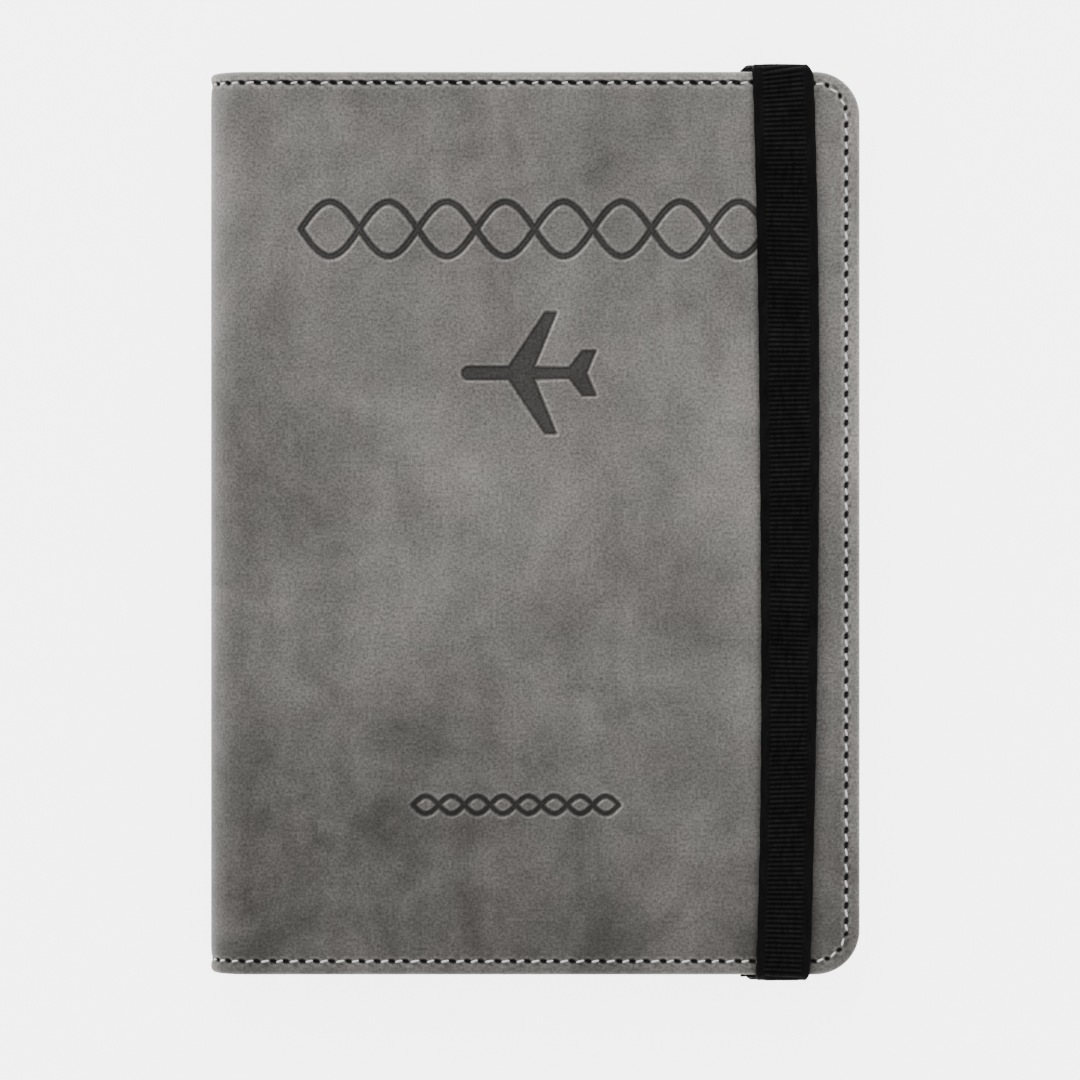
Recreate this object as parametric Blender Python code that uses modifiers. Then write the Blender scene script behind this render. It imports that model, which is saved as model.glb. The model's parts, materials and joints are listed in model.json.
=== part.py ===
"""Passport holder wallet, closed, lying on its back cover with the elastic band over its front.

X runs from the spine to the fore edge, Y from the tail to the head and Z up, out of the front cover. The origin
is on the table under the middle of the wallet. Every layer of a cover is placed by its depth below that cover's
outer face, so the same functions build both covers. The spine is a half round fold of four strips. It creases
along the outer skin at two places: the end strips belong to the covers, and the middle two move together.
"""

import math

import bmesh
import bpy
from mathutils import Matrix, Vector

MM = 0.001

# Overall size
HEIGHT = 145 * MM
WIDTH = 104.5 * MM
THICKNESS = 13 * MM
CORNER = 7.2 * MM

# Cover: a sheet of leather whose edges turn in over a board, with the lining behind it
LEATHER = 0.8 * MM
GAP = 0.2 * MM
BOARD = 0.6 * MM
TURNED_EDGE = 0.45 * MM
TURNED_WIDTH = 7 * MM
LINING = 0.3 * MM
LINING_INSET = 1.2 * MM
BOARD_SIDE_GAP = 0.3 * MM
RIM_ROUNDING = 0.7 * MM

# Spine
STRIPS = 4
HINGE_GAP = 0.15 * MM

# Pockets
CARD_LAYER = 0.3 * MM
CARD_GAP = 0.15 * MM
SLEEVE_LAYER = 0.4 * MM
POCKET_STEP = 16 * MM
CARD_DEPTH = 52 * MM
FIRST_CARD_MOUTH = 20 * MM
SIM_WIDTH = 24 * MM
SIM_HEIGHT = 27 * MM
THUMB_RADIUS = 9 * MM

# Seam
SEAM_INSET = 2.2 * MM
SEAM_INSET_HEAD = 1.8 * MM
SEAM_GROOVE = 1.0 * MM
SEAM_DEPTH = 0.5 * MM
THREAD_RADIUS = 0.18 * MM

# Elastic band
BAND_X = 40.5 * MM
BAND_WIDTH = 9.8 * MM
BAND_THICKNESS = 0.9 * MM
BAND_CLEARANCE = 0.3 * MM
BAND_BEND = 1.3 * MM
BAND_END_X = BAND_X - 2.2 * MM
BAND_END_LENGTH = 9 * MM

# Pressed pattern on the front
PRESS_DEPTH = 0.35 * MM
TWIST_AT = Vector((0.0, 47.2 * MM))
TWIST_LENGTH = 75 * MM
TWIST_HEIGHT = 9.8 * MM
TWIST_LOOPS = 8
TWIST_STROKE = 1.05 * MM
SMALL_TWIST_AT = Vector((-3.0 * MM, -45.2 * MM))
SMALL_TWIST_LENGTH = 33 * MM
SMALL_TWIST_HEIGHT = 3.6 * MM
SMALL_TWIST_STROKE = 0.8 * MM
PLANE_AT = Vector((-0.9 * MM, 24.1 * MM))
PLANE_LENGTH = 21.5 * MM
PLANE_SPAN = 19.5 * MM
PLANE_BODY = 2.1 * MM

# Worked out from the sizes above
SPINE_RADIUS = THICKNESS / 2
SPINE_X = SPINE_RADIUS - WIDTH / 2
FORE_X = WIDTH / 2
HEAD_Y = HEIGHT / 2
BOARD_TOP = LEATHER + GAP + BOARD
COVER_EDGE = BOARD_TOP + GAP + TURNED_EDGE
LINING_TOP = COVER_EDGE + GAP + LINING

CLEAR = 1 * MM
TINY = 0.001 * MM
SMOOTH_ANGLE = math.radians(35)


class Side:
    """One cover: depth is measured inwards from its outer face, and `level` turns it into a height."""

    def __init__(self, name, outer_z, inwards):
        self.name = name
        self.outer_z = outer_z
        self.inwards = inwards

    def level(self, depth):
        return self.outer_z + self.inwards * depth


BACK = Side("back_cover", 0.0, 1)
FRONT = Side("front_cover", THICKNESS, -1)

# Matrices that stand a flat outline up: its local x, y and thickness go to the named world axes
FLAT = Matrix.Identity(4)
ALONG_Y = Matrix(((1, 0, 0, 0), (0, 0, -1, 0), (0, 1, 0, 0), (0, 0, 0, 1)))
ALONG_X = Matrix(((0, 0, 1, 0), (1, 0, 0, 0), (0, 1, 0, 0), (0, 0, 0, 1)))


def clear_scene():
    for thing in list(bpy.data.objects):
        bpy.data.objects.remove(thing)


def new_collection(name):
    collection = bpy.data.collections.new(name)
    bpy.context.scene.collection.children.link(collection)
    return collection


def material(name, colour, roughness, metallic=0.0):
    made = bpy.data.materials.new(name)
    made.use_nodes = True
    shader = made.node_tree.nodes["Principled BSDF"]
    shader.inputs["Base Color"].default_value = (*colour, 1)
    shader.inputs["Roughness"].default_value = roughness
    shader.inputs["Metallic"].default_value = metallic
    return made


# Outlines: lists of (x, y)


def arc(centre, radius, start, end, steps=8):
    """Points on an arc, from the start angle to the end angle in degrees."""
    turns = [math.radians(start + (end - start) * i / steps) for i in range(steps + 1)]
    return [(centre[0] + radius * math.cos(a), centre[1] + radius * math.sin(a)) for a in turns]


def fore_path(inset, head_inset=None, start=SPINE_X):
    """An open path from the spine along the tail, up the fore edge and back along the head, with round corners."""
    head_inset = inset if head_inset is None else head_inset
    x = FORE_X - inset
    low = inset - HEAD_Y
    high = HEAD_Y - head_inset
    radius = CORNER - inset
    tail_corner = arc((x - radius, low + radius), radius, -90, 0)
    head_corner = arc((x - radius, high - radius), radius, 0, 90)
    return [(start, low), *tail_corner, *head_corner, (start, high)]


def rectangle(x_low, x_high, y_low, y_high):
    return [(x_low, y_low), (x_high, y_low), (x_high, y_high), (x_low, y_high)]


def ribbon(points, width):
    """The outline of a stroke of even width along an open path."""
    left = []
    right = []
    for i, point in enumerate(points):
        ahead = Vector(points[min(i + 1, len(points) - 1)])
        behind = Vector(points[max(i - 1, 0)])
        along = (ahead - behind).normalized()
        across = Vector((-along.y, along.x)) * width / 2
        left.append(tuple(Vector(point) + across))
        right.append(tuple(Vector(point) - across))
    return left + right[::-1]


def twist(centre, length, height, stroke, loops=TWIST_LOOPS, steps=8):
    """Two crossing waves, each a ribbon, which together make a chain of loops."""
    strands = []
    for side in (1, -1):
        wave = []
        for i in range(loops * steps + 1):
            along = i / (loops * steps)
            swing = side * (height - stroke) / 2 * math.sin(math.pi * loops * along)
            wave.append((centre.x + (along - 0.5) * length, centre.y + swing))
        strands.append(ribbon(wave, stroke))
    return strands


def aircraft(centre, length, span, body):
    """A plain aircraft seen from above with its nose towards -X: tapering fuselage, swept wings and tailplane."""
    reach = length / 2
    tip = span / 2
    half = [
        (-0.30 * reach, 0.500 * body),
        (0.24 * reach, tip),
        (0.41 * reach, tip),
        (0.08 * reach, 0.47 * body),
        (0.60 * reach, 0.40 * body),
        (0.80 * reach, 0.37 * tip),
        (reach, 0.37 * tip),
    ]
    nose = arc((body / 2 - reach, 0.0), body / 2, 265, 95)
    notch = [(0.86 * reach, 0.0)]
    lower = [(x, -y) for x, y in reversed(half)]
    return [(centre.x + x, centre.y + y) for x, y in nose + half + notch + lower]


# Solids


def weld(mesh):
    """Closes a mesh whose parts share places but not vertices, with its faces pointing out."""
    work = bmesh.new()
    work.from_mesh(mesh)
    bmesh.ops.remove_doubles(work, verts=work.verts, dist=1e-7)
    bmesh.ops.recalc_face_normals(work, faces=work.faces)
    work.to_mesh(mesh)
    work.free()


def mesh_of_curve(guide):
    """The welded mesh of a curve object, which it replaces."""
    bpy.context.scene.collection.objects.link(guide)
    bpy.context.view_layer.update()
    graph = bpy.context.evaluated_depsgraph_get()
    mesh = bpy.data.meshes.new_from_object(guide.evaluated_get(graph))
    mesh.transform(guide.matrix_world)
    mesh.name = guide.name
    weld(mesh)
    bpy.data.objects.remove(guide)
    return mesh


def flat_mesh(name, outlines, low, high, stand=FLAT):
    """Filled outlines with a thickness from low to high. An outline inside another is a hole."""
    curve = bpy.data.curves.new(name, "CURVE")
    curve.dimensions = "2D"
    curve.fill_mode = "BOTH"
    curve.extrude = (high - low) / 2
    for outline in outlines:
        spline = curve.splines.new("POLY")
        spline.points.add(len(outline) - 1)
        for point, (x, y) in zip(spline.points, outline):
            point.co = (x, y, 0, 1)
        spline.use_cyclic_u = True
    guide = bpy.data.objects.new(name, curve)
    guide.matrix_world = stand @ Matrix.Translation((0, 0, (low + high) / 2))
    return mesh_of_curve(guide)


def tube_mesh(name, points, radius):
    """A thin tube with filled ends along an open path of (x, y, z)."""
    curve = bpy.data.curves.new(name, "CURVE")
    curve.dimensions = "3D"
    curve.bevel_depth = radius
    curve.bevel_resolution = 1
    curve.use_fill_caps = True
    spline = curve.splines.new("POLY")
    spline.points.add(len(points) - 1)
    for point, place in zip(spline.points, points):
        point.co = (*place, 1)
    return mesh_of_curve(bpy.data.objects.new(name, curve))


class Wallet:
    """Makes the sub-parts and the cutters, each in its own collection, and hangs them on their pivots."""

    def __init__(self):
        self.parts = new_collection("passport_holder_wallet")
        self.cutters = new_collection("cutters")
        self.materials = {
            "leather": material("cover_leather", (0.200, 0.188, 0.178), 0.75),
            "pocket": material("pocket_leather", (0.165, 0.155, 0.147), 0.7),
            "board": material("stiffener_board", (0.32, 0.29, 0.25), 0.9),
            "lining": material("lining_cloth", (0.040, 0.040, 0.042), 0.85),
            "thread": material("seam_thread", (0.42, 0.41, 0.40), 0.6),
            "elastic": material("woven_elastic", (0.006, 0.006, 0.006), 0.8),
        }

    def add(self, name, mesh, kind, pivot=None):
        mesh.materials.append(self.materials[kind])
        mesh.shade_smooth()
        mesh.set_sharp_from_angle(angle=SMOOTH_ANGLE)
        part = bpy.data.objects.new(name, mesh)
        self.parts.objects.link(part)
        if pivot is not None:
            part.parent = pivot
            part.matrix_parent_inverse = pivot.matrix_world.inverted()
        return part

    def pivot(self, name, place, parent=None):
        """An empty on a joint's axis, which runs along Y through it."""
        empty = bpy.data.objects.new(name, None)
        empty.location = place
        empty.empty_display_size = 5 * MM
        self.parts.objects.link(empty)
        if parent is not None:
            empty.parent = parent
            empty.matrix_parent_inverse = parent.matrix_world.inverted()
        bpy.context.view_layer.update()
        return empty

    def cut(self, part, mesh):
        cutter = bpy.data.objects.new(mesh.name, mesh)
        cutter.hide_render = True
        cutter.display_type = "WIRE"
        self.cutters.objects.link(cutter)
        boolean = part.modifiers.new(mesh.name, "BOOLEAN")
        boolean.operation = "DIFFERENCE"
        boolean.solver = "EXACT"
        boolean.object = cutter


def slab(side, name, outlines, depth_low, depth_high):
    """A flat mesh of one cover, from one depth to another."""
    low, high = sorted((side.level(depth_low), side.level(depth_high)))
    return flat_mesh(name, outlines, low, high)


def round_edges(part, height, width, segments=3):
    """Rounds the rim of a flat part at one height, except along the spine side."""
    mesh = part.data
    upright = {key for face in mesh.polygons if abs(face.normal.z) < 0.5 for key in face.edge_keys}
    weight = mesh.attributes.new("bevel_weight_edge", "FLOAT", "EDGE")
    for edge in mesh.edges:
        ends = [mesh.vertices[i].co for i in edge.vertices]
        at_height = all(abs(end.z - height) < TINY for end in ends)
        at_spine = all(end.x < SPINE_X + CLEAR for end in ends)
        if at_height and not at_spine and edge.key in upright:
            weight.data[edge.index].value = 1.0
    bevel = part.modifiers.new("rounding", "BEVEL")
    bevel.limit_method = "WEIGHT"
    bevel.width = width
    bevel.segments = segments
    bevel.use_clamp_overlap = False


def cover_leather(wallet, side, pivot):
    """The panel with its edges turned in round the board, on the head, fore edge and tail."""
    start = SPINE_X + HINGE_GAP
    outline = fore_path(0, start=start)
    mesh = slab(side, f"{side.name}_leather", [outline], 0, COVER_EDGE)
    leather = wallet.add(f"{side.name}_leather", mesh, "leather", pivot)
    round_edges(leather, side.level(0), RIM_ROUNDING)
    past_spine = SPINE_X - CLEAR
    board_space = fore_path(LEATHER, start=past_spine)
    wallet.cut(leather, slab(side, f"{side.name}_board_space", [board_space], LEATHER, BOARD_TOP + GAP))
    window = fore_path(TURNED_WIDTH, start=past_spine)
    wallet.cut(leather, slab(side, f"{side.name}_window", [window], BOARD_TOP, COVER_EDGE + CLEAR))
    return leather


def seam_path(inset_change=0.0, start=SPINE_X):
    return fore_path(SEAM_INSET + inset_change, SEAM_INSET_HEAD + inset_change, start)


def seam(wallet, side, leather, pivot):
    """The stitch groove pressed into the leather, and the needle thread lying in it."""
    past_spine = SPINE_X - CLEAR
    outer = seam_path(-SEAM_GROOVE / 2, past_spine)
    inner = seam_path(SEAM_GROOVE / 2, past_spine)
    groove = slab(side, f"{side.name}_groove", [outer + inner[::-1]], -CLEAR, SEAM_DEPTH)
    wallet.cut(leather, groove)
    z = side.level(SEAM_DEPTH / 2)
    run = [(x, y, z) for x, y in seam_path(start=SPINE_X + HINGE_GAP)]
    name = side.name.replace("cover", "seam_thread")
    wallet.add(name, tube_mesh(name, run, THREAD_RADIUS), "thread", pivot)


def board(wallet, side, pivot):
    outline = fore_path(LEATHER + BOARD_SIDE_GAP, start=SPINE_X + CLEAR)
    mesh = slab(side, f"{side.name}_board", [outline], LEATHER + GAP, BOARD_TOP)
    wallet.add(f"{side.name}_board", mesh, "board", pivot)


def lining(wallet, side, pivot):
    outline = fore_path(LINING_INSET, start=SPINE_X + HINGE_GAP)
    mesh = slab(side, f"{side.name}_lining", [outline], LINING_TOP - LINING, LINING_TOP)
    wallet.add(f"{side.name}_lining", mesh, "lining", pivot)


def pressed_pattern(wallet, leather):
    """The shallow marks pressed into the front: a large twist, an aircraft and a small twist."""
    outlines = [
        *twist(TWIST_AT, TWIST_LENGTH, TWIST_HEIGHT, TWIST_STROKE),
        aircraft(PLANE_AT, PLANE_LENGTH, PLANE_SPAN, PLANE_BODY),
        *twist(SMALL_TWIST_AT, SMALL_TWIST_LENGTH, SMALL_TWIST_HEIGHT, SMALL_TWIST_STROKE, steps=4),
    ]
    for i, outline in enumerate(outlines):
        wallet.cut(leather, slab(FRONT, f"pressed_mark_{i + 1}", [outline], -CLEAR, PRESS_DEPTH))


def fore_pocket(side, name, x_start, depth_low, depth_high, y_low=-HEAD_Y, y_high=HEAD_Y):
    """A pocket layer sewn in at the fore edge, cut square at the given head and tail if those are inside the seam."""
    x_end = FORE_X - LINING_INSET
    outline = fore_path(LINING_INSET, start=x_start)
    if y_high < HEAD_Y:
        low = max(y_low, LINING_INSET - HEAD_Y)
        outline = rectangle(x_start, x_end, low, y_high)
        if y_low <= -HEAD_Y:
            radius = CORNER - LINING_INSET
            corner = arc((x_end - radius, low + radius), radius, -90, 0)
            outline = [(x_start, low), *corner, (x_end, y_high), (x_start, y_high)]
    return slab(side, name, [outline], depth_low, depth_high)


def card_pockets(wallet, pivot):
    """The backing panel with three stepped pockets that open towards the head, and the SIM pocket above them."""
    depth = LINING_TOP + GAP
    panel = fore_pocket(FRONT, "card_panel", SPINE_X + 4 * MM, depth, depth + CARD_LAYER)
    wallet.add("card_panel", panel, "pocket", pivot)
    x_start = SPINE_X + 6 * MM
    for i in range(3):
        depth += CARD_LAYER + CARD_GAP
        name = f"card_pocket_{i + 1}"
        mouth = FIRST_CARD_MOUTH - i * POCKET_STEP
        foot = mouth - CARD_DEPTH if i < 2 else -HEAD_Y
        mesh = fore_pocket(FRONT, name, x_start, depth, depth + CARD_LAYER, foot, mouth)
        wallet.add(name, mesh, "pocket", pivot)
    depth = LINING_TOP + GAP + CARD_LAYER + CARD_GAP
    low = FIRST_CARD_MOUTH + 12 * MM
    outline = rectangle(x_start + 6 * MM, x_start + 6 * MM + SIM_WIDTH, low, low + SIM_HEIGHT)
    mesh = slab(FRONT, "sim_pocket", [outline], depth, depth + CARD_LAYER)
    wallet.add("sim_pocket", mesh, "pocket", pivot)


def passport_pockets(wallet):
    """The boarding-pass pocket and, over it, the passport sleeve. Both open towards the spine."""
    depth = LINING_TOP + GAP
    name = "boarding_pass_pocket"
    mesh = fore_pocket(BACK, name, SPINE_X + 12 * MM, depth, depth + SLEEVE_LAYER)
    wallet.add(name, mesh, "pocket")
    depth += SLEEVE_LAYER + GAP
    mouth_x = SPINE_X + 38 * MM
    mesh = fore_pocket(BACK, "passport_sleeve", mouth_x, depth, depth + SLEEVE_LAYER)
    sleeve = wallet.add("passport_sleeve", mesh, "pocket")
    notch = arc((mouth_x - 0.3 * THUMB_RADIUS, 0), THUMB_RADIUS, 0, 360, 32)[:-1]
    wallet.cut(sleeve, slab(BACK, "thumb_notch", [notch], depth - CLEAR, depth + SLEEVE_LAYER + CLEAR))


def spine_point(turn, depth=0.0):
    """A place in the spine's section, as (x, z), at a turn from the back cover in degrees and a depth inwards."""
    a = math.radians(turn)
    radius = SPINE_RADIUS - depth
    return Vector((SPINE_X - radius * math.sin(a), SPINE_RADIUS - radius * math.cos(a)))


def strip_section(number, depth_low, depth_high):
    """The four corners of a strip between two hinge lines, its ends standing clear of them."""
    step = 180 / STRIPS
    first = spine_point(number * step)
    last = spine_point((number + 1) * step)
    along = (last - first).normalized()
    inwards = Vector((-along.y, along.x))
    if inwards.dot(Vector((SPINE_X, SPINE_RADIUS)) - first) < 0:
        inwards = -inwards
    lean = math.tan(math.radians(step / 2))
    corners = []
    for depth, flip in ((depth_low, 1), (depth_high, -1)):
        margin = HINGE_GAP + depth * lean
        ends = [first + along * margin, last - along * margin]
        corners += [end + inwards * depth for end in ends[::flip]]
    return [tuple(corner) for corner in corners]


def spine_strip(wallet, number, pivot):
    """One strip of the fold: leather, thicker where its ends turn in at the head and tail, and the lining."""
    thick = LEATHER + TURNED_EDGE
    name = f"spine_leather_{number + 1}"
    section = strip_section(number, 0, thick)
    leather = wallet.add(name, flat_mesh(name, [section], -HEAD_Y, HEAD_Y, ALONG_Y), "leather", pivot)
    window = strip_section(number, LEATHER, thick + CLEAR)
    grown = grow(window, CLEAR)
    reach = HEAD_Y - TURNED_WIDTH
    wallet.cut(leather, flat_mesh(f"{name}_window", [grown], -reach, reach, ALONG_Y))
    name = f"spine_lining_{number + 1}"
    section = strip_section(number, thick + GAP, thick + GAP + LINING)
    reach = HEAD_Y - LINING_INSET
    wallet.add(name, flat_mesh(name, [section], -reach, reach, ALONG_Y), "lining", pivot)


def crease(wallet, after, parent=None):
    """The pivot of a crease, on the outer skin after a number of strips counted from the back cover."""
    x, z = spine_point(after * 180 / STRIPS)
    return wallet.pivot(f"crease_{after}", (x, 0, z), parent)


def grow(section, by):
    """Widens a strip's section along the strip at both ends."""
    first, last = Vector(section[0]), Vector(section[1])
    along = (last - first).normalized() * by
    signs = (-1, 1, 1, -1)
    return [tuple(Vector(corner) + along * sign) for corner, sign in zip(section, signs)]


def band_run(wallet, pivot):
    """The free part of the elastic band: over the front cover and round the head and tail of both covers."""
    inner_y = HEAD_Y + BAND_CLEARANCE
    inner_z = THICKNESS + BAND_CLEARANCE
    outer_y = inner_y + BAND_THICKNESS
    outer_z = inner_z + BAND_THICKNESS
    low = COVER_EDGE + 0.35 * MM + BAND_CLEARANCE
    inner_bend = BAND_BEND - BAND_THICKNESS
    outer = [(outer_y, low), *arc((outer_y - BAND_BEND, outer_z - BAND_BEND), BAND_BEND, 0, 90, 6)]
    inner = [(inner_y, low), *arc((inner_y - inner_bend, inner_z - inner_bend), inner_bend, 0, 90, 6)]
    outer += [(-y, z) for y, z in reversed(outer)]
    inner += [(-y, z) for y, z in reversed(inner)]
    half = BAND_WIDTH / 2
    section = outer + inner[::-1]
    mesh = flat_mesh("elastic_band", [section], BAND_X - half, BAND_X + half, ALONG_X)
    wallet.add("elastic_band", mesh, "elastic", pivot)


def band_ends(wallet, leather):
    """The two sewn-in ends: each lies in a notch of the turned edge, under the lining, and turns up outside."""
    low = BOARD_TOP + GAP
    high = COVER_EDGE
    inner_y = HEAD_Y + BAND_CLEARANCE
    outer_y = inner_y + BAND_THICKNESS
    top = high + 0.35 * MM
    half = BAND_WIDTH / 2
    for name, sign in (("head", 1), ("tail", -1)):
        section = [(HEAD_Y - BAND_END_LENGTH, low), (outer_y, low), (outer_y, top), (inner_y, top)]
        section += [(inner_y, high), (HEAD_Y - BAND_END_LENGTH, high)]
        section = [(sign * y, z) for y, z in section]
        mesh = flat_mesh(f"band_end_{name}", [section], BAND_END_X - half, BAND_END_X + half, ALONG_X)
        wallet.add(f"band_end_{name}", mesh, "elastic")
        reach = half + GAP
        inner_end = sign * (HEAD_Y - BAND_END_LENGTH - GAP)
        notch = rectangle(BAND_END_X - reach, BAND_END_X + reach, *sorted((inner_end, sign * (HEAD_Y + CLEAR))))
        wallet.cut(leather, slab(BACK, f"band_notch_{name}", [notch], BOARD_TOP, COVER_EDGE + CLEAR))


def build():
    clear_scene()
    wallet = Wallet()
    back = cover_leather(wallet, BACK, None)
    seam(wallet, BACK, back, None)
    band_ends(wallet, back)
    board(wallet, BACK, None)
    lining(wallet, BACK, None)
    passport_pockets(wallet)
    back_crease = crease(wallet, 1)
    front_crease = crease(wallet, STRIPS - 1, back_crease)
    for number, pivot in enumerate((None, back_crease, back_crease, front_crease)):
        spine_strip(wallet, number, pivot)
    front = cover_leather(wallet, FRONT, front_crease)
    seam(wallet, FRONT, front, front_crease)
    pressed_pattern(wallet, front)
    board(wallet, FRONT, front_crease)
    lining(wallet, FRONT, front_crease)
    card_pockets(wallet, front_crease)
    band_run(wallet, wallet.pivot("band_hinge", (BAND_X, 0, SPINE_RADIUS)))


build()
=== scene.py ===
import json
import math

import bmesh
import bpy
import numpy as np
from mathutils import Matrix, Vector
from mathutils.geometry import delaunay_2d_cdt


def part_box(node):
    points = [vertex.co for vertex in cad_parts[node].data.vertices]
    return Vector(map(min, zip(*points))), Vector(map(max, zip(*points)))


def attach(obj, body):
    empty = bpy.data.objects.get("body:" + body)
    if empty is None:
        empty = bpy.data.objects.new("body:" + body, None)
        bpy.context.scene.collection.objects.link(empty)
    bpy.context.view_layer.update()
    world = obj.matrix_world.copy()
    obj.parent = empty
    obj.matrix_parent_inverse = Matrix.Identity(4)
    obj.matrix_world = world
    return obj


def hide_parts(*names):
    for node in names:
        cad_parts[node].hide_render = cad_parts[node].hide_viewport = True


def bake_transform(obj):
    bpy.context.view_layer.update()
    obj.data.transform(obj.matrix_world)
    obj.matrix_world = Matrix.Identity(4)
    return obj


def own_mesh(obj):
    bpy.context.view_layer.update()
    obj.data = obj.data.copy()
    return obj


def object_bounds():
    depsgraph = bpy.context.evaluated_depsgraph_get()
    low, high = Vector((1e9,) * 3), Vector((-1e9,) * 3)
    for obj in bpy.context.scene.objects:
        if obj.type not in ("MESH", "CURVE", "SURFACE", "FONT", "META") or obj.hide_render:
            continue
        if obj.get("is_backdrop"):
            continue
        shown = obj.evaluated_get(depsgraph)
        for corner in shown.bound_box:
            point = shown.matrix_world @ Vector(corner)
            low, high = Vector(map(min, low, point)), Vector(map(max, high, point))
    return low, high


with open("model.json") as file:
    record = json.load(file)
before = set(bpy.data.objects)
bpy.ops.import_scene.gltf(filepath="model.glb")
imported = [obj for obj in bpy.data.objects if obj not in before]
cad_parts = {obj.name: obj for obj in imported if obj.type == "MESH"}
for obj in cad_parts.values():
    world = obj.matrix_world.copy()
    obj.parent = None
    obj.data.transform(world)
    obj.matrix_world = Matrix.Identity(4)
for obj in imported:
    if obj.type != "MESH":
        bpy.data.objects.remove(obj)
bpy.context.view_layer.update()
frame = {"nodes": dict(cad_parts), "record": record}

# Lengths below are in millimetres in the frame's own axes: X to the fore edge, Y to the head, Z up.
MM = 0.001


def box_mm(node):
    low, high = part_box(node)
    return Vector(low) / MM, Vector(high) / MM


# The front cover's box gives the fore edge, the head and the closed wallet's thickness
FORE, HEAD, THICK = box_mm("front_cover_leather")[1]
RADIUS = THICK / 2
JOINTS = {j["name"]: j for j in frame["record"]["behaviour"]["joints"]}
# The spine's round section starts at this x. The opening joint is on its skin, an eighth of a turn round.
SPINE = JOINTS["cover_opening"]["pos_m"][0] / MM + RADIUS * math.sin(math.pi / 4)
SPINE_ARC = math.pi * RADIUS

CORNER = 7.2  # radius of the corners on the fore edge
FLAT_INSET = 5.0  # the cover is flat from here inwards
SEAM = 2.2  # the seam's distance from the edge
SEAM_HEAD = 1.8  # and the same along the head
STITCH_PITCH = 2.42
POCKET_PITCH = 2.6
THREAD_DEPTH = 0.3  # the seam's needle holes are this far below the skin
HOLE_LENGTH = 0.50  # half sizes of a needle hole, and its slant in radians
HOLE_WIDTH = 0.29
HOLE_LEAN = 0.24
LINING_DEPTH = 2.45
LINING = 0.3
LINING_INSET = 1.2

# The profile of a stitched edge as (inset, depth), from the cover's flat over the rim to the turned-in end
OUTER_PROFILE = np.array([
    (5.0, 0.0), (4.2, 0.01), (3.6, 0.03), (3.15, 0.07), (2.85, 0.13), (2.6, 0.21), (2.4, 0.27), (2.2, 0.30),
    (2.0, 0.27), (1.8, 0.18), (1.6, 0.08), (1.35, 0.02), (1.05, 0.0), (0.75, 0.04), (0.5, 0.13), (0.28, 0.29),
    (0.11, 0.55), (0.02, 0.9), (0.0, 1.25), (0.04, 1.7), (0.16, 2.0), (0.4, 2.19), (0.8, 2.25), (7.0, 2.25),
])
# and back inside the fold of the leather, which nothing shows
INNER_PROFILE = np.array([(7.0, 1.85), (1.3, 1.85), (0.9, 1.6), (0.8, 1.1), (1.0, 0.85), (5.0, 0.8)])

BAND_END_LOW, BAND_END_HIGH = box_mm("band_end_head")
FRONT_POCKETS = ("card_panel", "card_pocket_1", "card_pocket_2", "card_pocket_3", "sim_pocket")
BACK_POCKETS = ("boarding_pass_pocket", "passport_sleeve")


# ---------------- the outline of a cover


# The outline's parts: the straight edge at the tail or the head, a round corner, and the fore edge
EDGE_RUN = FORE - CORNER - SPINE
BEND_RUN = math.pi / 2 * CORNER
SIDE_RUN = 2 * (HEAD - CORNER)
OUTLINE_RUN = 2 * EDGE_RUN + 2 * BEND_RUN + SIDE_RUN


def outline(s, inset):
    """Places on a cover's outline, moved in. s runs from the spine along tail, fore edge and head."""
    s = np.asarray(s, float)
    first = np.clip((s - EDGE_RUN) / BEND_RUN, 0, 1)
    second = np.clip((s - EDGE_RUN - BEND_RUN - SIDE_RUN) / BEND_RUN, 0, 1)
    turn = (first + second - 1) * math.pi / 2
    out = np.stack([np.cos(turn), np.sin(turn)], -1)
    x = SPINE + np.minimum(s, EDGE_RUN) - np.maximum(s - EDGE_RUN - 2 * BEND_RUN - SIDE_RUN, 0)
    y = CORNER - HEAD + np.clip(s - EDGE_RUN - BEND_RUN, 0, SIDE_RUN)
    return np.stack([x, y], -1) + out * (CORNER - np.asarray(inset, float))[..., None]


def running_length(points):
    """How far along its line each point is."""
    return np.concatenate([[0], np.cumsum(np.linalg.norm(np.diff(points, axis=0), axis=1))])


def seam_inset(s):
    """The seam lies a little nearer the edge along the head."""
    t = np.clip((np.asarray(s, float) - (OUTLINE_RUN - EDGE_RUN - BEND_RUN)) / BEND_RUN, 0, 1)
    return SEAM + (SEAM_HEAD - SEAM) * t * t * (3 - 2 * t)


def stitch_places():
    """Where the needle holes are along the outline, a nearly even pitch apart on the seam itself."""
    s = np.linspace(0, OUTLINE_RUN, 4001)
    run = running_length(outline(s, seam_inset(s)))
    count = round(run[-1] / STITCH_PITCH)
    uneven = 0.07 * np.sin(np.arange(count) * 2.4) + 0.05 * np.sin(np.arange(count) * 1.1 + 1)
    uneven[[0, -1]] = 0
    return np.interp((np.arange(count) + 0.5 + uneven) * run[-1] / count, run, s)


HOLES = stitch_places()


def samples_with_holes(start, end, holes, fine=0.13, coarse=0.36, reach=0.65):
    """Places from start to end, close together round each hole and wider apart between them."""
    places = [start]
    while places[-1] < end - 1e-6:
        here = places[-1]
        near = np.min(np.abs(holes - (here + fine)))
        places.append(here + (fine if near < reach else coarse))
    places[-1] = end
    if places[-1] - places[-2] < 0.04:
        del places[-2]
    return np.array(places)


def nearest_hole(s, holes):
    """Which hole is nearest to each place along a seam."""
    return np.argmin(np.abs(s[:, None] - holes[None, :]), axis=1)


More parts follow.
